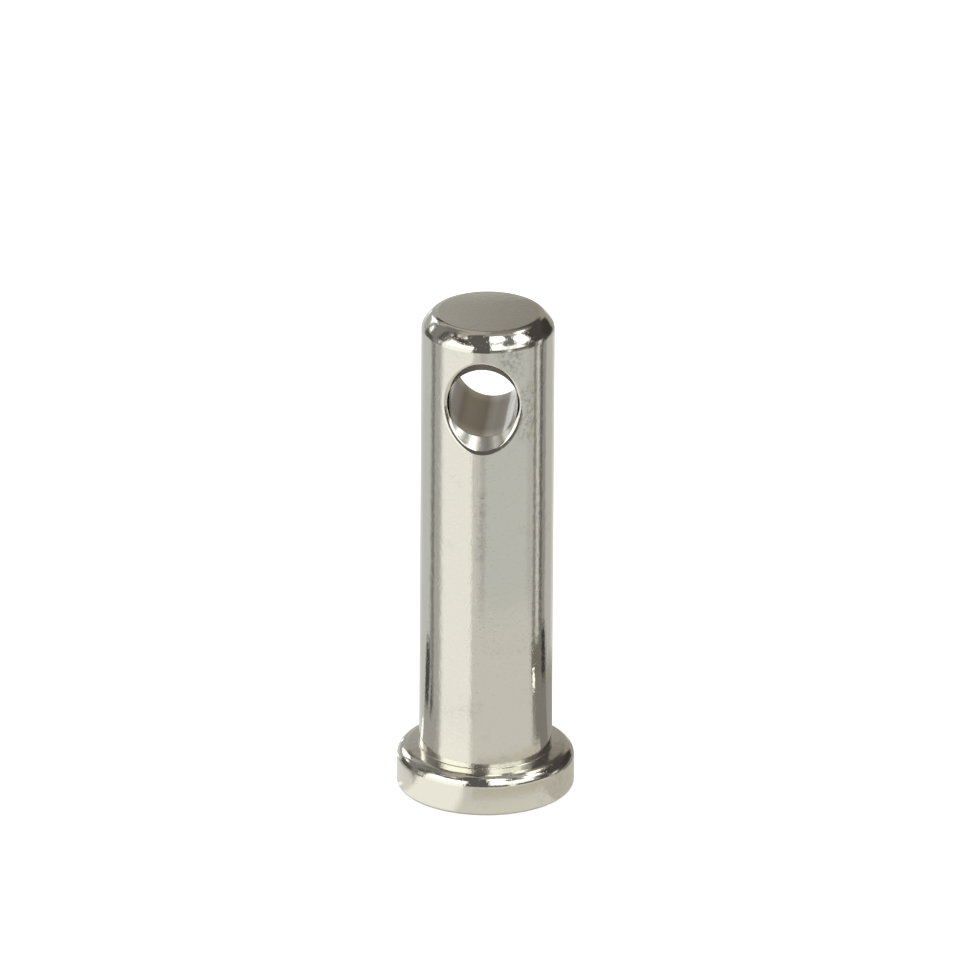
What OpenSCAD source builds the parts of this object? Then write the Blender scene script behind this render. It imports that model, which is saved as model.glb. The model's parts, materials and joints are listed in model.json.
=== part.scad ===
// Headed pin, turned from one bar, with a countersunk cross hole near its free end.
// It stands on the flat outer face of its head: +Z runs up the pin, the hole runs along Y.

/* [Pin] */
// Diameter of the straight pin
pin_d = 12; // [10:0.1:20]
// Length of the pin above the head, to its free end
pin_len = 42.2; // [20:0.1:120]
// Radius of the fillet where the pin meets the head
neck_fillet = 0.1; // [0.05:0.05:0.6]

/* [Head] */
// Width of the flat ledge that the head forms round the pin, rounded edge included
ledge_w = 2; // [1.8:0.1:6]
// Thickness of the head
head_h = 3.8; // [2:0.1:10]
// Radius of the polished round on the edge that faces the free end
head_round = 1.1; // [0.3:0.1:1.1]
// Radius of the small round on the edge that the pin stands on
foot_round = 0.35; // [0.1:0.05:0.8]

/* [Free end] */
// How far the bevel cuts in from the side of the pin
bevel_in = 1.2; // [0.6:0.1:1.6]
// How far the bevel runs down from the end face
bevel_down = 1.4; // [0.8:0.1:1.8]
// Radius that softens the corner between end face and bevel
face_round = 1; // [0.2:0.1:1.4]
// Radius that softens the corner between bevel and side
side_round = 1.1; // [0.1:0.1:1.1]

/* [Cross hole] */
// Diameter of the drilled hole
hole_d = 6.5; // [3:0.1:7]
// Distance from the end face to the middle of the hole
hole_from_end = 7; // [6.4:0.1:15]
// Width of the countersunk ring at the crown of the pin
sink_w = 1.1; // [0.4:0.1:1.3]
// Full angle of the countersinks
sink_angle = 84; // [60:1:120]

/* [Hidden] */
$fn = 180;
pin_r = pin_d / 2;
head_r = pin_r + ledge_w;
top_z = head_h + pin_len;
hole_r = hole_d / 2;
hole_z = top_z - hole_from_end;
// Slope of the bevel, and how far each softening arc reaches along the lines it joins
bevel_slope = atan2(bevel_down, bevel_in);
face_reach = face_round * tan(bevel_slope / 2);
side_reach = side_round * tan((90 - bevel_slope) / 2);
// Depth of a countersink below the crown, and how far its cutter stands outside the pin
sink_depth = sink_w / tan(sink_angle / 2);
sink_over = 1;

// The straight run of the bevel lies this far inside its two arcs, so that it cuts them cleanly
bevel_inset = 0.004;

// A point of the bevel's straight run, a distance along it from the upper corner
function on_bevel(along) = [
    pin_r - bevel_in + along * cos(bevel_slope) - bevel_inset * sin(bevel_slope),
    top_z - along * sin(bevel_slope) - bevel_inset * cos(bevel_slope)
];

// Half section of the head: a disc whose upper and lower edges are rounded
module head_section() {
    polygon([
        [0, 0],
        [head_r - foot_round, 0],
        [head_r, foot_round],
        [head_r, head_h - head_round],
        [head_r - head_round, head_h],
        [0, head_h]
    ]);
    translate([head_r - foot_round, foot_round]) circle(foot_round);
    translate([head_r - head_round, head_h - head_round]) circle(head_round);
}

// Half section of the pin: a straight side and a bevelled end with softened corners
module pin_section() {
    bevel_len = norm([bevel_in, bevel_down]);
    polygon([
        [0, head_h / 2],
        [pin_r, head_h / 2],
        [pin_r, top_z - bevel_down - side_reach],
        on_bevel(bevel_len - side_reach),
        on_bevel(face_reach),
        [pin_r - bevel_in - face_reach, top_z],
        [0, top_z]
    ]);
    translate([pin_r - bevel_in - face_reach, top_z - face_round]) circle(face_round);
    translate([pin_r - side_round, top_z - bevel_down - side_reach]) circle(side_round);
}

// Half section of the neck: a hollow fillet between the ledge and the side of the pin
module neck_section() {
    difference() {
        translate([0, head_h / 2]) square([pin_r + neck_fillet, head_h / 2 + neck_fillet]);
        translate([pin_r + neck_fillet, head_h + neck_fillet]) circle(neck_fillet);
    }
}

// The drilled hole, opened by a conical countersink at each side of the pin
module cross_hole() {
    translate([0, 0, hole_z]) rotate([90, 0, 0]) {
        cylinder(h = 2 * (pin_r + sink_over), r = hole_r, center = true);
        for (side = [0, 180]) rotate([0, side, 0])
            translate([0, 0, pin_r - sink_depth])
                cylinder(
                    h = sink_depth + sink_over,
                    r1 = hole_r,
                    r2 = hole_r + (sink_depth + sink_over) * tan(sink_angle / 2)
                );
    }
}

module bolt() {
    color("silver") difference() {
        rotate_extrude() {
            head_section();
            neck_section();
            pin_section();
        }
        cross_hole();
    }
}

bolt();
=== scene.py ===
# %% [markdown]
# # A drilled bolt, turned, polished and plated
#
# The object is a headed pin: one bar of metal, turned to a plain round shank with a
# flat disc for a head, bevelled at its free end, and drilled across near that end.
# It is polished and nickel plated, so nearly everything that the eye sees on it is a
# picture of the studio round it. Two things make or break such a render: a mesh whose
# normals turn evenly, and a studio that is worth reflecting.
#
# This cell loads the CAD model as a fixed frame. Every size below comes from that
# frame, or is a named value beside the step that needs it.

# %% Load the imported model
import json
import math

import bmesh
import bpy
import numpy as np
from mathutils import Matrix, Vector


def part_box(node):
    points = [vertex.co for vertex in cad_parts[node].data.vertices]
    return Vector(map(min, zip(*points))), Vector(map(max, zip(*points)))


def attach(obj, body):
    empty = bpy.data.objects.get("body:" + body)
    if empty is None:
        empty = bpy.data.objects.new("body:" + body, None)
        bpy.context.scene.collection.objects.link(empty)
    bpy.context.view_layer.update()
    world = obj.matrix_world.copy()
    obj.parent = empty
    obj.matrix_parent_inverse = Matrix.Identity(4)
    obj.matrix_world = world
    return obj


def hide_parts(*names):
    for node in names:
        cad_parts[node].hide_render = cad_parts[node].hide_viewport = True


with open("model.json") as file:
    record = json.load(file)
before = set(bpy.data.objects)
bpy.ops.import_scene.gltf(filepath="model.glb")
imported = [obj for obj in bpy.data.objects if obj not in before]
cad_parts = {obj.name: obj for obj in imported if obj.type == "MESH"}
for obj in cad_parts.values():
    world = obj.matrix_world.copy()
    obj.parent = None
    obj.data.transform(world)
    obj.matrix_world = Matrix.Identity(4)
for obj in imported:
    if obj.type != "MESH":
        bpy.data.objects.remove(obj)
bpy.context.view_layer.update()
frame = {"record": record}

MM = 0.001
mounts = {mount["name"]: mount for mount in frame["record"]["mounts"]}
foot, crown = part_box("bolt")
print("bolt, low and high corner in mm:", [round(v / MM, 2) for v in (*foot, *crown)])

# %% [markdown]
# ## Sizes of the turned body
#
# A turner works from a few diameters and lengths. The pin, the hole and the head's
# bearing face are mounts of the part, so their sizes are read from the record, and
# the overall height and the head's width come from the solid's box. Only the rounds,
# the bevel and the countersink's angle, which no mount names, are written here, in the
# values that the part's source has.

# %% Read the sizes
PIN_R = mounts["shank"]["dims"]["r_mm"] * MM
HOLE_R = mounts["cross_hole"]["dims"]["r_mm"] * MM
HOLE_Z = mounts["cross_hole"]["pos_m"][2]
BORE_HALF = mounts["cross_hole"]["dims"]["length_mm"] * MM / 2
HEAD_H = mounts["bearing_face"]["pos_m"][2]
HEAD_R = crown.x
TOP_Z = crown.z

NECK_FILLET = 0.1 * MM
HEAD_ROUND = 1.1 * MM
FOOT_ROUND = 0.35 * MM
BEVEL_IN = 1.2 * MM
BEVEL_DOWN = 1.4 * MM
FACE_ROUND = 1.0 * MM
SIDE_ROUND = 1.1 * MM
SINK_HALF_ANGLE = math.radians(84 / 2)
print("pin", PIN_R / MM, "head", round(HEAD_R / MM, 3), "height", round(TOP_Z / MM, 3))

# %% [markdown]
# ## The outline of the turned body
#
# A turned body is fully told by one line: the edge of its half section, from the
# middle of the foot, out and up over the head, along the pin, and back to the axis
# at the free end. Each round is a true arc, and every point of the line also notes
# which way the surface faces there, so that the reflections run over flats and
# rounds as smoothly as on real metal.
#
# A polishing wheel never leaves a surface quite straight. The photo shows it in what
# the metal reflects: the edge of a light runs through the middle of the bevel, and the
# end face is not the same grey all over. So the bevel and the end face are crowned by
# a few degrees, and the bearing face falls away to its edge. All of this moves the
# surface by less than a tenth of a millimetre.
#
# The line is left open where the cross hole comes through, because that stretch of
# the pin isn't round all the way. It gets its own mesh further down.

# %% Draw the half section
COLUMNS = 256
ARC_STEP = 6  # degrees
BAND_REACH = 5.0 * MM
# How far the wheel has turned each surface from straight, in degrees
BEVEL_CROWN = 6
LEDGE_FALL = 3
FACE_CROWN = 1.6


def point(r, z, facing):
    """One outline point: radius, height, and the way the surface faces.

    The facing is in degrees, and 0 is straight away from the axis.
    """
    return (r, z, math.cos(math.radians(facing)), math.sin(math.radians(facing)))


def arc(start, radius, facing, until, hollow=False):
    """Points on an arc that starts at (r, z) and turns the facing from one angle to another."""
    side = -1 if hollow else 1
    steps = max(2, math.ceil(abs(until - facing) / ARC_STEP))
    turns = [math.radians(facing + (until - facing) * i / steps) for i in range(steps + 1)]
    centre_r = start[0] - side * radius * math.cos(turns[0])
    centre_z = start[1] - side * radius * math.sin(turns[0])
    return [
        (
            centre_r + side * radius * math.cos(turn),
            centre_z + side * radius * math.sin(turn),
            math.cos(turn),
            math.sin(turn),
        )
        for turn in turns
    ]


lower_line = [point(0, 0, -90)]
lower_line += arc((HEAD_R - FOOT_ROUND, 0), FOOT_ROUND, -90, 0)
ledge_width = HEAD_R - HEAD_ROUND - PIN_R - NECK_FILLET
ledge_drop = ledge_width * math.tan(math.radians(LEDGE_FALL))
lower_line += arc(
    (HEAD_R, HEAD_H - HEAD_ROUND - ledge_drop), HEAD_ROUND, 0, 90 - LEDGE_FALL
)
lower_line += arc(
    (PIN_R + NECK_FILLET, HEAD_H), NECK_FILLET, 90 - LEDGE_FALL, 0, hollow=True
)
lower_line += [point(PIN_R, HOLE_Z - BAND_REACH, 0)]

bevel_facing = math.degrees(math.atan2(BEVEL_IN, BEVEL_DOWN))
face_reach = FACE_ROUND * math.tan(math.radians(90 - bevel_facing) / 2)
side_reach = SIDE_ROUND * math.tan(math.radians(bevel_facing) / 2)
bevel_run = math.hypot(BEVEL_IN, BEVEL_DOWN) - face_reach - side_reach
crown_radius = bevel_run / 2 / math.sin(math.radians(BEVEL_CROWN))

end_line = arc((PIN_R, 0), SIDE_ROUND, 0, bevel_facing - BEVEL_CROWN)
end_line += arc(
    end_line[-1], crown_radius, bevel_facing - BEVEL_CROWN, bevel_facing + BEVEL_CROWN
)[1:]
end_line += arc(
    end_line[-1], FACE_ROUND, bevel_facing + BEVEL_CROWN, 90 - FACE_CROWN
)[1:]
face_r = end_line[-1][0]
dome_radius = face_r / math.sin(math.radians(FACE_CROWN))
end_line += arc(end_line[-1], dome_radius, 90 - FACE_CROWN, 90)[1:]
lift = TOP_Z - end_line[-1][1]
upper_line = [point(PIN_R, HOLE_Z + BAND_REACH, 0)]
upper_line += [(max(r, 0), z + lift, *facing) for r, z, *facing in end_line]
print("outline points:", len(lower_line), "below the hole,", len(upper_line), "above it")
print("end face: radius", round(face_r / MM, 2), "mm, crowned by",
      round((end_line[-1][1] - end_line[-3][1]) / MM, 3), "mm")

# %% [markdown]
# ## Turning the outline into a body
#
# On a lathe the work spins and the tool follows the outline. Geometry Nodes can do the
# same with a flat grid: each row of the grid takes the place of one outline point, and
# each column is a turn about the axis by an equal step. The seam and the pole on the
# axis are then welded. The other way is a Screw modifier, which is shorter, but the
# nodes can also carry the outline's true facing direction to every vertex, which keeps
# the reflections free of the small errors of averaged normals.
#
# The outline goes in as a thread of vertices with its facing stored beside it.

# %% Make the lathe as a node tree
WELD = 0.001 * MM


def link(tree, *pairs):
    for start, end in pairs:
        tree.links.new(start, end)


def math_node(tree, operation, *values):
    node = tree.nodes.new("ShaderNodeMath")
    node.operation = operation
    for slot, value in enumerate(values):
        if isinstance(value, bpy.types.NodeSocket):
            tree.links.new(value, node.inputs[slot])
        else:
            node.inputs[slot].default_value = value
    return node.outputs[0]


def turned(tree, radial, upward, angle):
    """Nodes for the vector (radial cos, radial sin, upward)."""
    vector = tree.nodes.new("ShaderNodeCombineXYZ")
    east = math_node(tree, "MULTIPLY", radial, math_node(tree, "COSINE", angle))
    north = math_node(tree, "MULTIPLY", radial, math_node(tree, "SINE", angle))
    link(tree, (east, vector.inputs[0]), (north, vector.inputs[1]), (upward, vector.inputs[2]))
    return vector.outputs[0]


lathe = bpy.data.node_groups.new("lathe", "GeometryNodeTree")
lathe.interface.new_socket("Geometry", in_out="INPUT", socket_type="NodeSocketGeometry")
lathe_inputs = {
    name: lathe.interface.new_socket(name, in_out="INPUT", socket_type=kind)
    for name, kind in (
        ("Columns", "NodeSocketInt"),
        ("Weld distance", "NodeSocketFloat"),
        ("Finish", "NodeSocketMaterial"),
    )
}
lathe.interface.new_socket("Geometry", in_out="OUTPUT", socket_type="NodeSocketGeometry")
given = lathe.nodes.new("NodeGroupInput")
result = lathe.nodes.new("NodeGroupOutput")

size = lathe.nodes.new("GeometryNodeAttributeDomainSize")
grid = lathe.nodes.new("GeometryNodeMeshGrid")
columns = math_node(lathe, "ADD", given.outputs["Columns"], 1)
link(
    lathe,
    (given.outputs["Geometry"], size.inputs["Geometry"]),
    (columns, grid.inputs["Vertices X"]),
    (size.outputs["Point Count"], grid.inputs["Vertices Y"]),
)
index = lathe.nodes.new("GeometryNodeInputIndex").outputs[0]
row = math_node(lathe, "MODULO", index, size.outputs["Point Count"])
column = math_node(lathe, "FLOOR", math_node(lathe, "DIVIDE", index, size.outputs["Point Count"]))
step = math_node(lathe, "DIVIDE", math.tau, given.outputs["Columns"])
angle = math_node(lathe, "MULTIPLY", column, step)


def from_outline(kind, value):
    """Reads a vector at this row's outline point, as (radial, upward)."""
    sample = lathe.nodes.new("GeometryNodeSampleIndex")
    sample.data_type = "FLOAT_VECTOR"
    split = lathe.nodes.new("ShaderNodeSeparateXYZ")
    link(
        lathe,
        (given.outputs["Geometry"], sample.inputs["Geometry"]),
        (value, sample.inputs["Value"]),
        (row, sample.inputs["Index"]),
        (sample.outputs[0], split.inputs[0]),
    )
    return split.outputs[0], split.outputs[2]


place = lathe.nodes.new("GeometryNodeInputPosition").outputs[0]
stored = lathe.nodes.new("GeometryNodeInputNamedAttribute")
stored.data_type = "FLOAT_VECTOR"
stored.inputs["Name"].default_value = "facing"
moved = lathe.nodes.new("GeometryNodeSetPosition")
keep = lathe.nodes.new("GeometryNodeStoreNamedAttribute")
keep.data_type = "FLOAT_VECTOR"
keep.inputs["Name"].default_value = "facing"
weld = lathe.nodes.new("GeometryNodeMergeByDistance")
realize = lathe.nodes.new("GeometryNodeRealizeInstances")
finish = lathe.nodes.new("GeometryNodeSetMaterial")
link(
    lathe,
    (grid.outputs["Mesh"], keep.inputs["Geometry"]),
    (turned(lathe, *from_outline("facing", stored.outputs[0]), angle), keep.inputs["Value"]),
    (keep.outputs[0], moved.inputs["Geometry"]),
    (turned(lathe, *from_outline("place", place), angle), moved.inputs["Position"]),
    (moved.outputs[0], weld.inputs["Geometry"]),
    (given.outputs["Weld distance"], weld.inputs["Distance"]),
    (weld.outputs[0], realize.inputs[0]),
    (realize.outputs[0], finish.inputs["Geometry"]),
    (given.outputs["Finish"], finish.inputs["Material"]),
    (finish.outputs[0], result.inputs[0]),
)
print("lathe tree nodes:", len(lathe.nodes))

# %% [markdown]
# ## Turning the two stretches
#
# The node tree runs once for the head with the lower pin, and once for the free end.
# A few dozen points of an outline become thousands of vertices on the body.

# %% Run the lathe


def turn(name, line):
    """The turned body of one outline, as a plain mesh."""
    thread = bpy.data.meshes.new(name)
    steps = [(i, i + 1) for i in range(len(line) - 1)]
    thread.from_pydata([(r, 0, z) for r, z, *_ in line], steps, [])
    facing = thread.attributes.new("facing", "FLOAT_VECTOR", "POINT")
    facing.data.foreach_set("vector", [v for _, _, nr, nz in line for v in (nr, 0, nz)])
    work = bpy.data.objects.new(name, thread)
    bpy.context.scene.collection.objects.link(work)
    modifier = work.modifiers.new("lathe", "NODES")
    modifier.node_group = lathe
    modifier[lathe_inputs["Columns"].identifier] = COLUMNS
    modifier[lathe_inputs["Weld distance"].identifier] = WELD
    modifier[lathe_inputs["Finish"].identifier] = polished
    depsgraph = bpy.context.evaluated_depsgraph_get()
    mesh = bpy.data.meshes.new_from_object(work.evaluated_get(depsgraph))
    bpy.data.objects.remove(work)
    return mesh


polished = bpy.data.materials.new("polished nickel plate")
drilled = bpy.data.materials.new("drilled nickel plate")
countersunk = bpy.data.materials.new("countersunk nickel plate")
lower_body = turn("head and lower pin", lower_line)
upper_body = turn("free end", upper_line)
for mesh in (lower_body, upper_body):
    heights = [v.co.z / MM for v in mesh.vertices]
    ends = [round(height, 2) for height in (min(heights), max(heights))]
    print(mesh.name, len(mesh.vertices), "vertices, from and to in mm:", ends)

# %% [markdown]
# ## The stretch with the cross hole
#
# Between the two turned stretches the pin is pierced. A boolean would cut it, but it
# leaves a knife edge and ragged faces, and on a mirror both show. So this stretch is
# laid out: rings of the same number of points, which start as the rectangle of
# the unrolled half cylinder and shrink to the mouth of the hole. They go on over the
# rounded rim, down the countersink, over its small inner edge and along the bore.
#
# The rounded rim is where a small ball would roll that touches the pin's wall and the
# cone from inside the metal. The ball's centre lies one ball radius under both
# surfaces, which is a quadratic equation at each angle round the hole. The round runs
# from the one touching point to the other, and it faces away from the centre.
#
# One weakness is left. At the left and the right of each mouth the cone is narrower
# than this ball needs, so there the skin folds back on itself by up to a quarter of a
# millimetre, and the lowest cosine that is printed further down is negative. A ball
# that gets smaller towards the sides would cure it.

# %% Lay out one half of the pierced stretch
RIM_ROUND = 0.5 * MM
BORE_ROUND = 0.05 * MM
SIDE_STEPS = 24
PATCH_RINGS = 26
ROUND_RINGS = 8
BORE_RINGS = 6
EVEN_OUT = 1.25  # over 1, the rings near the hole lie closer together

slope = math.tan(SINK_HALF_ANGLE)
lean = math.cos(SINK_HALF_ANGLE)
rise = math.sin(SINK_HALF_ANGLE)
half_turn = COLUMNS // 2
width = math.pi * PIN_R / 2

# The rectangle's edge in the unrolled wall, counterclockwise from its lower right corner.
upward = np.linspace(-1, 1, SIDE_STEPS + 1)[:-1] * BAND_REACH
leftward = np.linspace(1, -1, half_turn + 1)[:-1] * width
edge = np.concatenate(
    [
        np.c_[np.full(SIDE_STEPS, width), upward],
        np.c_[leftward, np.full(half_turn, BAND_REACH)],
        np.c_[np.full(SIDE_STEPS, -width), -upward],
        np.c_[-leftward, np.full(half_turn, -BAND_REACH)],
    ]
)
round_hole = np.arctan2(edge[:, 1], edge[:, 0])
cos_hole, sin_hole = np.cos(round_hole), np.sin(round_hole)
flat = np.zeros_like(round_hole)
print("points in each ring:", len(edge))


def slerp(start, stop, share):
    """The unit vector a share of the way from one to the other."""
    between = np.arccos(np.clip((start * stop).sum(axis=1), -1, 1))[:, None]
    both = np.sin((1 - share) * between) * start + np.sin(share * between) * stop
    return both / np.sin(between)


# The ball in the rim: x right, y out of the metal, z up from the hole's axis.
offset = HOLE_R - BORE_HALF * slope + RIM_ROUND / lean
under_wall = PIN_R - RIM_ROUND
a = 1 + (slope * cos_hole) ** 2
b = 2 * offset * slope * cos_hole**2
c = (offset * cos_hole) ** 2 - under_wall**2
out = (-b + np.sqrt(b * b - 4 * a * c)) / (2 * a)
reach = offset + out * slope
ball = np.c_[reach * cos_hole, out, reach * sin_hole]
faces_wall = np.c_[ball[:, 0], ball[:, 1], flat] / under_wall
faces_cone = np.c_[-lean * cos_hole, flat + rise, -lean * sin_hole]
faces_bore = np.c_[-cos_hole, flat, -sin_hole]

rings = []
rim = ball + RIM_ROUND * faces_wall
rim_flat = np.c_[PIN_R * np.arctan2(rim[:, 0], rim[:, 1]), rim[:, 2]]
for share in np.linspace(0, 1, PATCH_RINGS + 1)[:-1]:
    spread = edge + (rim_flat - edge) * (1 - (1 - share) ** EVEN_OUT)
    turned_by = spread[:, 0] / PIN_R
    outward = np.c_[np.sin(turned_by), np.cos(turned_by), flat]
    rings.append((outward * PIN_R + np.c_[flat, flat, spread[:, 1]], outward))
for share in np.linspace(0, 1, ROUND_RINGS + 1):
    facing = slerp(faces_wall, faces_cone, share)
    rings.append((ball + RIM_ROUND * facing, facing))

inner_out = BORE_HALF + (BORE_ROUND - BORE_ROUND / lean) / slope
inner_r = HOLE_R + BORE_ROUND
inner = np.c_[inner_r * cos_hole, flat + inner_out, inner_r * sin_hole]
for share in np.linspace(0, 1, ROUND_RINGS // 2 + 1):
    facing = slerp(faces_cone, faces_bore, share)
    rings.append((inner + BORE_ROUND * facing, facing))
for share in np.linspace(1, 0, BORE_RINGS + 1)[1:]:
    in_bore = np.c_[HOLE_R * cos_hole, flat + inner_out * share, HOLE_R * sin_hole]
    rings.append((in_bore, faces_bore))
print("rings from the wall to the middle of the bore:", len(rings))
rim_width = np.ptp(rim[:, 0]) / MM, np.ptp(rim[:, 2]) / MM
print("mouth of the hole, across and along in mm:", [round(w, 2) for w in rim_width])

# %% [markdown]
# ## Welding the body together
#
# The half that was laid out faces the camera's side. Its mirror image is the far half,
# and the two meet in the middle of the bore and along two lines down the pin's sides.
# The outer ring has the lathe's own columns on its long edges, so all four meshes weld
# without a gap. The check after it is a hard one: in a closed body every edge has
# exactly two faces.

# %% Weld, and test that the skin is closed
POLISHED, DRILLED, COUNTERSUNK = 0, 1, 2
on_cone = PATCH_RINGS + ROUND_RINGS
count = len(edge)
bolt_mesh = bpy.data.meshes.new("bolt")
work = bmesh.new()
facing_layer = work.verts.layers.float_vector.new("facing")
for mesh in (lower_body, upper_body):
    work.from_mesh(mesh)
for face in work.faces:
    face.material_index = POLISHED
for flip in (-1, 1):
    rows = []
    for places, facings in rings:
        rows.append([])
        for place_at, faces_to in zip(places, facings):
            vertex = work.verts.new((place_at[0], flip * place_at[1], place_at[2] + HOLE_Z))
            vertex[facing_layer] = (faces_to[0], flip * faces_to[1], faces_to[2])
            rows[-1].append(vertex)
    for ring, (outer, nearer) in enumerate(zip(rows, rows[1:])):
        finish = POLISHED if ring < on_cone else DRILLED if ring > on_cone else COUNTERSUNK
        for i in range(count):
            face = work.faces.new((outer[i], outer[i - 1], nearer[i - 1], nearer[i]))
            face.material_index = finish
bmesh.ops.remove_doubles(work, verts=work.verts, dist=2 * WELD)
bmesh.ops.recalc_face_normals(work, faces=work.faces)
for face in work.faces:
    face.smooth = True
open_edges = [e for e in work.edges if len(e.link_faces) != 2]
volume = work.calc_volume(signed=True) / MM**3
work.to_mesh(bolt_mesh)
work.free()
print("faces", len(bolt_mesh.polygons), "open edges", len(open_edges))
print("volume in mm3:", round(volume, 1))
if open_edges or volume < 0:
    raise RuntimeError("the body isn't closed, or it is inside out")

# %% [markdown]
# ## Handing the facing to the shading
#
# The stored facing becomes the mesh's own normals. From here on the body is one plain
# mesh, and it takes the place of the CAD node in the picture.

# %% Set the normals and take the CAD node's place
facings = np.empty(len(bolt_mesh.vertices) * 3)
bolt_mesh.attributes["facing"].data.foreach_get("vector", facings)
facings = facings.reshape(-1, 3)
facings /= np.linalg.norm(facings, axis=1)[:, None]
bolt_mesh.normals_split_custom_set_from_vertices(facings.tolist())
bolt_mesh.attributes.remove(bolt_mesh.attributes["facing"])
for material in (polished, drilled, countersunk):
    bolt_mesh.materials.append(material)

bolt = bpy.data.objects.new("bolt_body", bolt_mesh)
bpy.context.scene.collection.objects.link(bolt)
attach(bolt, "root")
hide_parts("bolt")
agree = min(p.normal.dot(Vector(facings[p.vertices[0]])) for p in bolt_mesh.polygons)
print("facing against the faces, lowest cosine:", round(agree, 3))

# %% [markdown]
# ## What the finish is
#
# The plating is bright nickel: a little yellower than chrome, and a mirror at heart.
# Four faults tell the eye that it is metal and not a drawing. The polished steel
# under the plating is never quite even, so straight reflections waver slightly. The
# wheel leaves very fine lines round the pin. Small pits fray the edges of what the
# metal reflects, and handling leaves dull smudges, which scatter the light a little.
#
# Each fault is a node group, so that the outside, the countersinks and the bore can
# share them at different strengths. The noises are stretched along or round the pin,
# the way that a wheel leaves its marks.

# %% Groups for the faults of a plated surface


def new_group(name, inputs, outputs):
    """A shader group with named inputs and outputs, and its two end nodes."""
    group = bpy.data.node_groups.new(name, "ShaderNodeTree")
    for label, kind, value in inputs:
        socket = group.interface.new_socket(label, in_out="INPUT", socket_type=kind)
        if value is not None:
            socket.default_value = value
    for label, kind in outputs:
        group.interface.new_socket(label, in_out="OUTPUT", socket_type=kind)
    return group, group.nodes.new("NodeGroupInput"), group.nodes.new("NodeGroupOutput")


def use_group(tree, group, **values):
    """Places a group in a tree. Sockets are linked, and plain values are set."""
    node = tree.nodes.new("ShaderNodeGroup")
    node.node_tree = group
    for label, value in values.items():
        socket = node.inputs[label.replace("_", " ")]
        if isinstance(value, bpy.types.NodeSocket):
            tree.links.new(value, socket)
        else:
            socket.default_value = value
    return node


def noise(tree, coordinates, scale, detail, rough=0.5):
    node = tree.nodes.new("ShaderNodeTexNoise")
    node.inputs["Scale"].default_value = scale
    node.inputs["Detail"].default_value = detail
    node.inputs["Roughness"].default_value = rough
    tree.links.new(coordinates, node.inputs["Vector"])
    return node.outputs["Fac"]


def stretched(tree, coordinates, x, y, z):
    node = tree.nodes.new("ShaderNodeVectorMath")
    node.operation = "MULTIPLY"
    node.inputs[1].default_value = (x, y, z)
    tree.links.new(coordinates, node.inputs[0])
    return node.outputs[0]


def ramp_between(tree, value, low, high, to_low=0.0, to_high=1.0):
    node = tree.nodes.new("ShaderNodeMapRange")
    node.interpolation_type = "SMOOTHSTEP"
    tree.links.new(value, node.inputs["Value"])
    for slot, number in enumerate((low, high, to_low, to_high), 1):
        if isinstance(number, bpy.types.NodeSocket):
            tree.links.new(number, node.inputs[slot])
        else:
            node.inputs[slot].default_value = number
    return node.outputs["Result"]


def painted_over(tree, under, over, mask):
    """One colour over another by a mask. A colour is a socket or plain numbers."""
    mix = tree.nodes.new("ShaderNodeMix")
    mix.data_type = "RGBA"
    tree.links.new(mask, mix.inputs["Factor"])
    for socket, value in ((mix.inputs[6], under), (mix.inputs[7], over)):
        if isinstance(value, bpy.types.NodeSocket):
            tree.links.new(value, socket)
        else:
            socket.default_value = (*value[:3], 1)
    return mix.outputs[2]


def place_on_object(tree):
    """The place on the object as a vector, and its x, y and z."""
    where = tree.nodes.new("ShaderNodeTexCoord").outputs["Object"]
    split = tree.nodes.new("ShaderNodeSeparateXYZ")
    tree.links.new(where, split.inputs[0])
    return where, *split.outputs


VECTOR, FLOAT = "NodeSocketVector", "NodeSocketFloat"
# How many of each fault lie side by side in a metre, roughly
SLOW_WAVES, QUICK_WAVES = 260, 1500
WHEEL_LINES = 22000
SMUDGES, GRAINS = 210, 2600
PITS = 5000
QUICK_SHARE = 0.35  # how much the quick waves count beside the slow ones

waver, start, end = new_group(
    "polish waver",
    [("Coordinates", VECTOR, None), ("Height", FLOAT, 0.001 * MM)],
    [("Height", FLOAT)],
)
slow = noise(waver, stretched(waver, start.outputs[0], 1, 1, 0.4), SLOW_WAVES, 1.0)
quick = noise(waver, stretched(waver, start.outputs[0], 1, 1, 0.8), QUICK_WAVES, 2.0)
both = math_node(waver, "ADD", slow, math_node(waver, "MULTIPLY", quick, QUICK_SHARE))
link(waver, (math_node(waver, "MULTIPLY", both, start.outputs["Height"]), end.inputs[0]))

wheel, start, end = new_group(
    "wheel lines",
    [("Coordinates", VECTOR, None), ("Height", FLOAT, 0.0001 * MM)],
    [("Height", FLOAT)],
)
lines = noise(wheel, stretched(wheel, start.outputs[0], 0.05, 0.05, 1), WHEEL_LINES, 3.0, 0.7)
link(wheel, (math_node(wheel, "MULTIPLY", lines, start.outputs["Height"]), end.inputs[0]))

smudge, start, end = new_group(
    "smudges",
    [("Coordinates", VECTOR, None), ("Amount", FLOAT, 1.0), ("Rubbed", FLOAT, 0.0)],
    [("Dullness", FLOAT)],
)
patches = ramp_between(smudge, noise(smudge, start.outputs[0], SMUDGES, 3.0, 0.6), 0.56, 0.76)
grain = ramp_between(smudge, noise(smudge, start.outputs[0], GRAINS, 2.0, 0.6), 0.35, 0.7)
spread = math_node(
    smudge, "MULTIPLY_ADD", patches, start.outputs["Amount"], start.outputs["Rubbed"]
)
link(smudge, (math_node(smudge, "MULTIPLY", spread, grain), end.inputs[0]))

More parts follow.
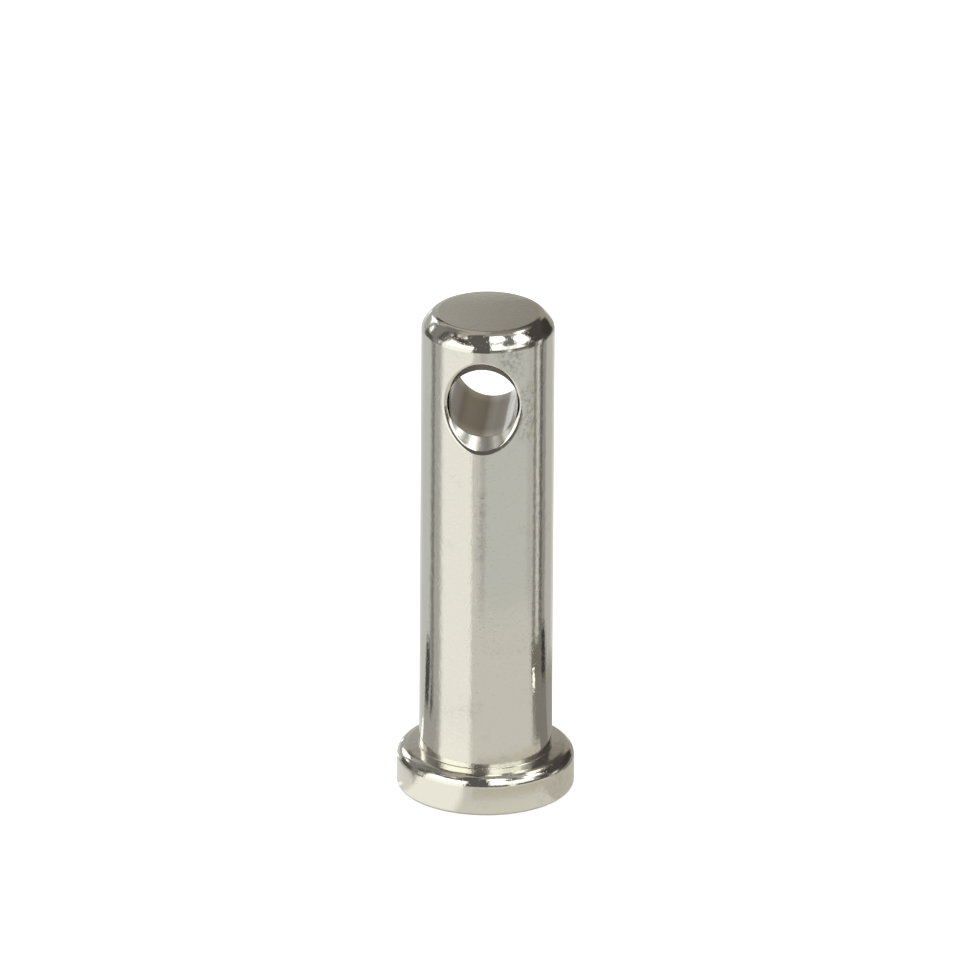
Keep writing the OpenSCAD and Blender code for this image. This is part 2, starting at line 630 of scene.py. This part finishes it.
pits, start, end = new_group(
    "pits",
    [("Coordinates", VECTOR, None), ("Depth", FLOAT, 0.001 * MM)],
    [("Height", FLOAT)],
)
spots = ramp_between(pits, noise(pits, start.outputs[0], PITS, 0.0), 0.66, 0.76)
below = math_node(pits, "MULTIPLY", start.outputs["Depth"], -1)
link(pits, (math_node(pits, "MULTIPLY", spots, below), end.inputs[0]))
print("groups:", [group.name for group in (waver, wheel, smudge, pits)])

# %% [markdown]
# ## The three finishes
#
# The outside is the mirror, with its end face ground flatter than the polished side.
# The countersinks are duller, and the bore is the same plating over a drilled surface.
# One function builds all three, and each gets its own strengths.
#
# Next, each finish gets what only it has. The wheel can't reach the corner between the
# head and the pin, so it stays duller. A clip that is pushed in and pulled out rubs
# the plating beside the hole, and those patches are listed by their place. Inside the
# bore the colour is painted darker and browner away from each mouth: painted shade in
# the hole. Such patches could also be painted on the mesh, but a list is easier to
# read and to move.

# %% Build the three nickel materials
NICKEL = (0.78, 0.765, 0.68)
SMUDGED = (0.40, 0.40, 0.37)
# Painted shade in the bore: the first colour is at the mouths, the second, darker and browner, is
# inside
BORE_NEAR_THE_MOUTH = (0.62, 0.59, 0.51)
PAINTED_SHADE_IN_BORE = (0.40, 0.355, 0.30)
SMUDGE_AMOUNT = 0.3
FACE_WAVER = 0.3
CORNER_DULLNESS = 0.13
SIDE_FADE, END_FADE = 0.4, 0.8
RUBBED = [
    # name, from and to across, from and to above the hole's middle, all in mm, strength
    ("beside the mouth", 1.4, 3.6, 2.8, 6.2, 0.65),
    ("right of the mouth", 3.2, 4.6, -3.5, 2.0, 0.5),
    ("streak below the hole", -0.45, 0.35, -15.0, -8.0, 0.5),
]


def plated(material, roughness, dullness, waver_height, line_height, pit_depth):
    """Plates a material. Returns its shader and its smudges, for what it has of its own."""
    material.use_nodes = True
    tree = material.node_tree
    shader = tree.nodes["Principled BSDF"]
    shader.inputs["Metallic"].default_value = 1
    where, _, _, up_z = place_on_object(tree)
    dull = use_group(tree, smudge, Coordinates=where, Amount=SMUDGE_AMOUNT, Rubbed=0.0)
    rough = math_node(tree, "MULTIPLY_ADD", dull.outputs[0], dullness, roughness)
    stained = painted_over(tree, NICKEL, SMUDGED, dull.outputs[0])
    here = ramp_between(
        tree, up_z, TOP_Z - 0.3 * MM, TOP_Z - 0.05 * MM, waver_height, FACE_WAVER * waver_height
    )
    waves = use_group(tree, waver, Coordinates=where, Height=here).outputs[0]
    fine = use_group(tree, wheel, Coordinates=where, Height=line_height).outputs[0]
    dents = use_group(tree, pits, Coordinates=where, Depth=pit_depth).outputs[0]
    marks = math_node(tree, "ADD", fine, dents)
    bump = tree.nodes.new("ShaderNodeBump")
    bump.inputs["Distance"].default_value = 1
    link(
        tree,
        (stained, shader.inputs["Base Color"]),
        (rough, shader.inputs["Roughness"]),
        (math_node(tree, "ADD", waves, marks), bump.inputs["Height"]),
        (bump.outputs[0], shader.inputs["Normal"]),
    )
    return shader, dull


outer_shader, outer_smudges = plated(
    polished, roughness=0.05, dullness=0.22,
    waver_height=0.034 * MM, line_height=0.00003 * MM, pit_depth=0.003 * MM,
)
sink_shader, _ = plated(
    countersunk, roughness=0.2, dullness=0.25,
    waver_height=0.002 * MM, line_height=0.0001 * MM, pit_depth=0.002 * MM,
)
sink_shader.inputs["Metallic"].default_value = 0.85
bore_shader, _ = plated(
    drilled, roughness=0.16, dullness=0.2,
    waver_height=0.002 * MM, line_height=0.0001 * MM, pit_depth=0.001 * MM,
)

# The duller corner: the bearing face, fading out over the pin's first 1.4 mm
tree = polished.node_tree
_, across, outward_y, up_z = place_on_object(tree)
over_ledge = ramp_between(tree, up_z, HEAD_H - 0.2 * MM, HEAD_H - 0.05 * MM)
under_pin = ramp_between(tree, up_z, HEAD_H + 1.4 * MM, HEAD_H + 0.1 * MM)
corner = math_node(tree, "MULTIPLY", over_ledge, under_pin)
polish_left = outer_shader.inputs["Roughness"].links[0].from_socket
cornered = math_node(tree, "MULTIPLY_ADD", corner, CORNER_DULLNESS, polish_left)
link(tree, (cornered, outer_shader.inputs["Roughness"]))

# The rubbed patches, on the front only
above_hole = math_node(tree, "SUBTRACT", up_z, HOLE_Z)
front = ramp_between(tree, outward_y, 0.5 * MM, -0.5 * MM)
rubbed = None
for name, left_x, right_x, low_z, high_z, strength in RUBBED:
    patch = math_node(tree, "MULTIPLY", front, strength)
    for value, first, last in (
        (across, left_x - SIDE_FADE, left_x + SIDE_FADE),
        (across, right_x + SIDE_FADE, right_x - SIDE_FADE),
        (above_hole, low_z - END_FADE, low_z + END_FADE),
        (above_hole, high_z + END_FADE, high_z - END_FADE),
    ):
        inward = ramp_between(tree, value, first * MM, last * MM)
        patch = math_node(tree, "MULTIPLY", patch, inward)
    patch.node.label = name
    rubbed = patch if rubbed is None else math_node(tree, "MAXIMUM", rubbed, patch)
link(tree, (rubbed, outer_smudges.inputs["Rubbed"]))

# Painted shade: the bore darkens over the first 2 mm from each mouth, and stays so inside
tree = drilled.node_tree
_, _, along_bore, _ = place_on_object(tree)
from_middle = math_node(tree, "ABSOLUTE", along_bore)
inside = ramp_between(tree, from_middle, BORE_HALF, BORE_HALF - 2 * MM)
shaded_bore = painted_over(tree, BORE_NEAR_THE_MOUTH, PAINTED_SHADE_IN_BORE, inside)
link(tree, (shaded_bore, bore_shader.inputs["Base Color"]))
print("finishes:", [material.name for material in (polished, countersunk, drilled)])

# %% [markdown]
# ## The studio
#
# What the metal shows is the room, so the room is built as a photographer would set it.
# Two large softboxes stand low to the left and right of the camera, and the gap between
# them, with the camera in it, is dark. The right one is partly masked by what stands
# before it. Dark flags over the softboxes keep the bevel and the rim of the hole from
# washing out, and a few small lamps shine between them. The ceiling is a warm grey, the
# wall behind is a middle grey, and dark stands fill its corners.
#
# A bearing tells where a thing stands round the bolt: 0 is towards the camera, positive
# is to its right, and 180 is behind the bolt. A height is the angle above the table.
# One group works both out from a direction, and another one paints a soft edged panel.

# %% Groups for bearings and panels
CAMERA_AZIMUTH = 4.7  # degrees, from straight in front of the hole to its right

compass, start, end = new_group(
    "compass",
    [("Direction", VECTOR, None), ("Turn", FLOAT, 0.0)],
    [("Bearing", FLOAT), ("Height", FLOAT)],
)
split = compass.nodes.new("ShaderNodeSeparateXYZ")
link(compass, (start.outputs[0], split.inputs[0]))
x, y, z = split.outputs
away = math_node(compass, "MULTIPLY", y, -1)
heading = math_node(compass, "DEGREES", math_node(compass, "ARCTAN2", x, away))
from_camera = math_node(compass, "SUBTRACT", heading, start.outputs["Turn"])
bearing = math_node(compass, "WRAP", from_camera, 180, -180)
squared = [math_node(compass, "MULTIPLY", side, side) for side in (x, y)]
level = math_node(compass, "SQRT", math_node(compass, "ADD", *squared))
height = math_node(compass, "DEGREES", math_node(compass, "ARCTAN2", z, level))
link(compass, (bearing, end.inputs[0]), (height, end.inputs[1]))

panel, start, end = new_group(
    "panel",
    [
        (label, FLOAT, 0.0)
        for label in ("Bearing", "Height", "Middle", "Half width", "Low", "High", "Edge")
    ],
    [("Mask", FLOAT)],
)
on_panel = start.outputs
off = math_node(panel, "SUBTRACT", on_panel["Bearing"], on_panel["Middle"])
aside = math_node(panel, "ABSOLUTE", math_node(panel, "WRAP", off, 180, -180))


def soft_step(value, at, sign):
    """1 on the one side of an edge and 0 on the other, over the panel's edge width."""
    beyond = math_node(panel, "MULTIPLY", math_node(panel, "SUBTRACT", value, at), sign)
    share = math_node(panel, "DIVIDE", beyond, on_panel["Edge"])
    return ramp_between(panel, share, -0.5, 0.5)


mask = soft_step(aside, on_panel["Half width"], -1)
for edge_at, sign in (("Low", 1), ("High", -1)):
    within = soft_step(on_panel["Height"], on_panel[edge_at], sign)
    mask = math_node(panel, "MULTIPLY", mask, within)
link(panel, (mask, end.inputs[0]))
print("groups:", compass.name, "and", panel.name)

# %% [markdown]
# ## The table and the room as the metal sees them
#
# A polished pin that is seen from above shows the table all round it, from behind the
# left shoulder over the front to behind the right one. The table is a glossy pale
# sheet, so it repeats what stands round it as vertical bands, and the bolt's own
# shadows on it are painted in as dark bands to its left and right. The end face, the
# bevel and the rounds look up, and show the room itself: walls, ceiling, softboxes,
# stands, flags and lamps.
#
# Both are listed by bearing and height, as one would note them walking round the
# table: how bright, from where to where. A later line covers the ones before it. The
# same could be built from lamps and cards on stands, but a world of soft edged panels
# renders without noise and shows only in the metal.

# %% Paint the table's bands and the room over it
TABLE = (0.605, 0.61, 0.605)
PANELS = [
    # name, colour, from bearing, to bearing, low, high, soft edge, all in degrees
    ("back of the table", (0.72, 0.725, 0.72), 154, 206, -90, 0, 14),
    ("left of the table", (0.59, 0.605, 0.60), -146, -86, -90, 0, 14),
    # Painted shadow: the bolt's own shadow on the table, to its left
    ("bolt's shadow on the left", (0.23, 0.225, 0.22), -113, -102, -90, 0, 12),
    ("shade of the card", (0.46, 0.45, 0.44), -101, -84, -90, 0, 5),
    ("glow round the card", (0.69, 0.675, 0.655), -76, -16, -90, 0, 16),
    ("white card on the table", (0.98, 0.975, 0.95), -86, -48, -90, 0, 16),
    ("front edge of the card", (0.98, 0.975, 0.95), -72, -26, -90, 0, 6),
    ("shade before the card", (0.53, 0.515, 0.50), -11, -3, -90, 0, 7),
    ("right of the table", (0.55, 0.535, 0.515), 74, 150, -90, 0, 10),
    ("dark line on the right", (0.27, 0.265, 0.255), 88, 94, -90, 0, 5),
    ("bright line on the right", (0.70, 0.69, 0.66), 97, 101, -90, 0, 4),
    # Painted shadow: the bolt's own shadow on the table, to its right, its soft part and its dark
    # core
    ("soft shadow of the bolt on the right", (0.33, 0.32, 0.31), 103, 121, -90, 0, 8),
    ("dark core of the bolt's shadow on the right", (0.17, 0.165, 0.16), 104, 111, -90, 0, 5),
    ("wall behind", (0.43, 0.425, 0.41), -200, 200, 0, 120, 6),
    ("right part of the wall behind", (0.26, 0.235, 0.21), 104, 180, 0, 72, 8),
    ("shelf on the wall behind", (0.10, 0.075, 0.065), 138, 222, 28, 35, 4),
    ("ceiling", (0.34, 0.33, 0.30), -200, 200, 72, 120, 10),
    ("warm wall over the left softbox", (0.46, 0.425, 0.35), -150, -50, 62, 80, 8),
    ("left back wall", (0.20, 0.195, 0.175), -158, -84, 44, 62, 10),
    ("left side", (0.24, 0.235, 0.23), -134, -84, -14, 46, 8),
    ("left stand", (0.11, 0.105, 0.10), -133, -107, -12, 12, 8),
    ("light strip on the left", (0.70, 0.70, 0.69), -93, -87, -4, 18, 5),
    ("arm of the left stand", (0.12, 0.11, 0.105), -104, -92, 22, 46, 7),
    ("left lamp", (2.2, 2.2, 2.2), -154, -137, 14, 31, 8),
    ("small left lamp", (1.5, 1.5, 1.5), -131, -123, 14, 22, 5),
    ("right side", (0.30, 0.29, 0.27), 72, 104, -14, 60, 6),
    ("right back stand", (0.075, 0.064, 0.066), 88, 172, 8, 46, 9),
    ("foot of the right back stand", (0.08, 0.075, 0.073), 106, 150, -10, 14, 8),
    ("right back flag", (0.05, 0.045, 0.04), 118, 150, 0, 22, 9),
    ("wall beside the stand", (0.36, 0.34, 0.29), 151, 176, 2, 27, 8),
    ("shade at the back", (0.38, 0.37, 0.34), 146, 164, -17, 3, 6),
    ("lighter patch low on the wall", (0.56, 0.57, 0.53), 177, 190, 10, 20, 4),
    ("narrow lamp behind on the left", (2.2, 2.4, 2.55), -163.5, -161.5, -6, 4, 2),
    ("light strip on the right", (0.74, 0.72, 0.70), 94, 103, -12, 7, 5),
    ("gap with the camera", (0.12, 0.115, 0.115), -28, 5, -16, 50, 5),
    ("dark stage over the gap", (0.125, 0.12, 0.12), -62, 5, 45, 73, 7),
    ("left softbox, lower part", (1.2, 1.2, 1.18), -84, -26, -19, 36, 5),
    ("left softbox, upper part", (1.75, 1.75, 1.75), -78, -27, 14, 42, 7),
    ("flag over the left softbox", (0.10, 0.072, 0.06), -92, -43, 42, 51, 6),
    ("near end of the rail light", (1.15, 1.12, 1.05), -66, -53, 54, 59, 4),
    ("middle of the rail light", (0.85, 0.83, 0.88), -80, -71, 50, 54, 4),
    ("far end of the rail light", (0.70, 0.69, 0.68), -91, -84, 43, 47, 4),
    ("dark top of the stage", (0.05, 0.04, 0.035), -75, -25, 72, 84, 6),
    ("right softbox, near half", (1.6, 1.6, 1.6), 6, 37, 14, 52, 6),
    ("right softbox, far half", (1.4, 1.4, 1.4), 32, 66, 12, 41, 7),
    ("grey card over the far half", (0.20, 0.205, 0.205), 33, 66, 43, 66, 7),
    ("round lamp over the right softbox", (2.8, 2.8, 2.8), 6, 45, 57, 70, 9),
    ("second lamp on the right", (2.4, 2.4, 2.4), 63, 89, 35, 53, 9),
    ("strip lamp on the right", (1.7, 1.7, 1.7), 88, 137, 52, 62, 6),
    ("low shelf at the right", (0.33, 0.305, 0.275), 6, 76, -16, 9, 5),
    ("dark shelf edge", (0.15, 0.135, 0.11), 4, 74, -3, 8, 5),
    ("glint at the end of the shelf", (1.1, 1.1, 1.05), 31, 40, -12, 14, 5),
    ("dark box at the right", (0.10, 0.092, 0.085), 73, 88, -18, 24, 6),
]

world = bpy.data.worlds.new("studio")
bpy.context.scene.world = world
world.use_nodes = True
tree = world.node_tree
tree.nodes.clear()
direction = tree.nodes.new("ShaderNodeTexCoord").outputs["Generated"]
bearing, height = use_group(tree, compass, Direction=direction, Turn=CAMERA_AZIMUTH).outputs


def panel_mask(tree, name, bearing, height, first, last, low, high, edge_width):
    """Where one panel is seen, from two bearings, two heights and the width of its edge."""
    node = use_group(
        tree, panel, Bearing=bearing, Height=height, Middle=(first + last) / 2,
        Half_width=(last - first) / 2, Low=low, High=high, Edge=edge_width,
    )
    node.label = name
    return node.outputs[0]


room = TABLE
for name, light, *place in PANELS:
    room = painted_over(tree, room, light, panel_mask(tree, name, bearing, height, *place))

seen = tree.nodes.new("ShaderNodeLightPath")
soft_white = tree.nodes.new("ShaderNodeBackground")
room_light = tree.nodes.new("ShaderNodeBackground")
which = tree.nodes.new("ShaderNodeMixShader")
shown = tree.nodes.new("ShaderNodeOutputWorld")
soft_white.inputs["Color"].default_value = (1, 1, 1, 1)
in_metal = math_node(
    tree, "MAXIMUM", seen.outputs["Is Glossy Ray"], seen.outputs["Is Transmission Ray"]
)
link(
    tree,
    (room, room_light.inputs["Color"]),
    (in_metal, which.inputs["Fac"]),
    (soft_white.outputs[0], which.inputs[1]),
    (room_light.outputs[0], which.inputs[2]),
    (which.outputs[0], shown.inputs["Surface"]),
)
print("panels in the studio:", len(PANELS))

# %% [markdown]
# ## The white floor
#
# The photo has its background cut to white. The floor under the bolt is pale, and the
# camera sees it lit up to white, while the bolt's soft shadow stays on it.
#
# In the metal the floor shows marks close to the bolt: the sheet round the foot,
# painted shade and a dark patch on the right, dark streaks on the left, and a few
# painted glints. They are listed like the panels, but by their distance from the
# bolt's axis in place of a height. Between them the floor lets the metal see the
# table's bands. Small cards laid on the floor would do the same, but the camera would
# have to be kept from seeing them.

# %% Lay the floor
TABLE_MARKS = [
    # name, colour, from bearing, to bearing, nearest and farthest in mm, soft edge
    ("lighter sheet in front", (0.68, 0.665, 0.645), -22, 78, 0, 50, 14),
    ("shade on the right", (0.24, 0.23, 0.21), 82, 120, 0, 38, 11),
    ("half shade behind it", (0.36, 0.345, 0.325), 118, 150, 0, 32, 8),
    # Darker patches 30 to 42 mm right of the axis, seen only in the metal
    ("dark patch on the right", (0.20, 0.19, 0.165), 79, 113, 32, 40, 4),
    ("darkest patch on the right", (0.055, 0.055, 0.055), 104, 115, 30, 42, 4),
    # Painted glint: a spot brighter than white on the floor, seen only in the metal
    ("painted glint on the right", (1.6, 1.6, 1.5), 81, 86, 30, 34, 2),
    # Darker streaks 14 to 38 mm left of the axis, seen only in the metal
    ("grey streak on the left", (0.40, 0.39, 0.38), -120, -84, 14, 24, 4),
    ("dark streak on the left", (0.08, 0.08, 0.075), -119, -106, 23, 38, 5),
    ("shade beside the dark streak", (0.13, 0.13, 0.12), -102, -96, 22, 29, 4),
    # Painted glint: a spot brighter than white on the floor, seen only in the metal
    ("painted glint further left", (1.3, 1.3, 1.3), -127, -119, 11, 19, 2),
    ("darker ring under the edge", (0.585, 0.555, 0.49), -12, 92, 12, 17, 3),
    ("sheet round the foot", (0.74, 0.72, 0.67), -200, 200, 0, 11, 3),
    ("sheet left of the foot", (0.78, 0.77, 0.74), -176, -74, 0, 12, 3),
    ("sheet right of the foot", (0.56, 0.53, 0.485), 56, 176, 0, 13, 4),
    ("card close to the foot", (1.04, 1.02, 0.99), -72, -22, -9, 20, 10),
    ("glint at the left of the foot", (1.15, 1.15, 1.15), -86, -81, 7, 9, 1),
]
FLOOR_HALF = 0.6
FLOOR_GLOW = 0.62  # lifts the sheet to white for the camera
corners = [(x * FLOOR_HALF, y * FLOOR_HALF, 0) for x, y in ((-1, -1), (1, -1), (1, 1), (-1, 1))]
floor_mesh = bpy.data.meshes.new("floor")
floor_mesh.from_pydata(corners, [], [(0, 1, 2, 3)])
floor = bpy.data.objects.new("floor", floor_mesh)
bpy.context.scene.collection.objects.link(floor)

pale = bpy.data.materials.new("white sheet")
floor_mesh.materials.append(pale)
pale.use_nodes = True
tree = pale.node_tree
tree.nodes.clear()
where = tree.nodes.new("ShaderNodeTexCoord").outputs["Object"]
distance = tree.nodes.new("ShaderNodeVectorMath")
distance.operation = "LENGTH"
link(tree, (where, distance.inputs[0]))
paper = tree.nodes.new("ShaderNodeBsdfDiffuse")
paper.inputs["Color"].default_value = (0.8, 0.8, 0.8, 1)
glow = tree.nodes.new("ShaderNodeEmission")
glow.inputs["Strength"].default_value = FLOOR_GLOW
lit = tree.nodes.new("ShaderNodeAddShader")
clear = tree.nodes.new("ShaderNodeBsdfTransparent")
bearing = use_group(tree, compass, Direction=where, Turn=CAMERA_AZIMUTH).outputs[0]
in_mm = math_node(tree, "DIVIDE", distance.outputs["Value"], MM)
mark, between_marks = (0, 0, 0), 1.0
for name, light, *place in TABLE_MARKS:
    mask = panel_mask(tree, name, bearing, in_mm, *place)
    mark = painted_over(tree, mark, light, mask)
    beside = math_node(tree, "SUBTRACT", 1, mask)
    between_marks = math_node(tree, "MULTIPLY", between_marks, beside)
mark_glow = tree.nodes.new("ShaderNodeEmission")
rest_of_table = tree.nodes.new("ShaderNodeBsdfTransparent")
beyond = tree.nodes.new("ShaderNodeAddShader")
link(
    tree,
    (mark, mark_glow.inputs["Color"]),
    (between_marks, rest_of_table.inputs["Color"]),
    (mark_glow.outputs[0], beyond.inputs[0]),
    (rest_of_table.outputs[0], beyond.inputs[1]),
)
seen = tree.nodes.new("ShaderNodeLightPath")
seen_from = tree.nodes.new("ShaderNodeNewGeometry")
to_camera = tree.nodes.new("ShaderNodeMixShader")
to_metal = tree.nodes.new("ShaderNodeMixShader")
two_sided = tree.nodes.new("ShaderNodeMixShader")
shown = tree.nodes.new("ShaderNodeOutputMaterial")
far = ramp_between(tree, distance.outputs["Value"], HEAD_R - 0.2 * MM, HEAD_R + 0.5 * MM)
far_in_metal = math_node(tree, "MULTIPLY", far, seen.outputs["Is Glossy Ray"])
link(
    tree,
    (paper.outputs[0], lit.inputs[0]),
    (glow.outputs[0], lit.inputs[1]),
    (seen.outputs["Is Camera Ray"], to_camera.inputs["Fac"]),
    (paper.outputs[0], to_camera.inputs[1]),
    (lit.outputs[0], to_camera.inputs[2]),
    (far_in_metal, to_metal.inputs["Fac"]),
    (to_camera.outputs[0], to_metal.inputs[1]),
    (beyond.outputs[0], to_metal.inputs[2]),
    (seen_from.outputs["Backfacing"], two_sided.inputs["Fac"]),
    (to_metal.outputs[0], two_sided.inputs[1]),
    (clear.outputs[0], two_sided.inputs[2]),
    (two_sided.outputs[0], shown.inputs["Surface"]),
)
print("floor of", 2 * FLOOR_HALF, "m with", len(TABLE_MARKS), "marks for the metal")

# %% [markdown]
# ## The camera
#
# The photo was taken from far off with a long lens, a little from above, since the
# upright sides hardly run together and the free end shows as a flattened circle. The
# camera stands on a line through the middle of the bolt and is moved sideways and up,
# without turning, until the middle of the foot falls where the photo has it. The bolt
# leans by a third of a degree in the photo, so the camera is rolled by as much.

# %% Place the camera
ELEVATION = 23.2  # degrees
ROLL = 0.35  # degrees
DISTANCE = 3.0  # metres
PIXEL = 0.08992 * MM  # width of one pixel on the bolt
FOOT_IN_PICTURE = (485.3, 780.7)  # pixels from the left and from the top
PICTURE = 960  # pixels, either way
SENSOR = 36  # millimetres

azimuth, elevation, roll = (math.radians(value) for value in (CAMERA_AZIMUTH, ELEVATION, ROLL))
back = Vector((
    math.sin(azimuth) * math.cos(elevation),
    -math.cos(azimuth) * math.cos(elevation),
    math.sin(elevation),
))
right = Vector((math.cos(azimuth), math.sin(azimuth), 0))
up = back.cross(right)
right, up = (
    right * math.cos(roll) + up * math.sin(roll),
    up * math.cos(roll) - right * math.sin(roll),
)

middle = Vector((0, 0, TOP_Z / 2))
depth = DISTANCE + middle.dot(back)
per_pixel = PIXEL * depth / DISTANCE
foot_right = (FOOT_IN_PICTURE[0] - PICTURE / 2) * per_pixel
foot_up = (PICTURE / 2 - FOOT_IN_PICTURE[1]) * per_pixel
target = middle + right * (-middle.dot(right) - foot_right) + up * (-middle.dot(up) - foot_up)

lens = bpy.data.cameras.new("camera")
camera = bpy.data.objects.new("camera", lens)
bpy.context.scene.collection.objects.link(camera)
bpy.context.scene.camera = camera
lens.sensor_width = SENSOR
lens.lens = SENSOR * DISTANCE / (PICTURE * PIXEL)
lens.clip_start, lens.clip_end = 0.1, 20
camera.location = target + back * DISTANCE
camera.rotation_mode = "QUATERNION"
camera.rotation_quaternion = Matrix((right, up, back)).transposed().to_quaternion()
bpy.context.scene.view_settings.view_transform = "Standard"
print("lens", round(lens.lens, 1), "mm, camera at", [round(value, 3) for value in camera.location])
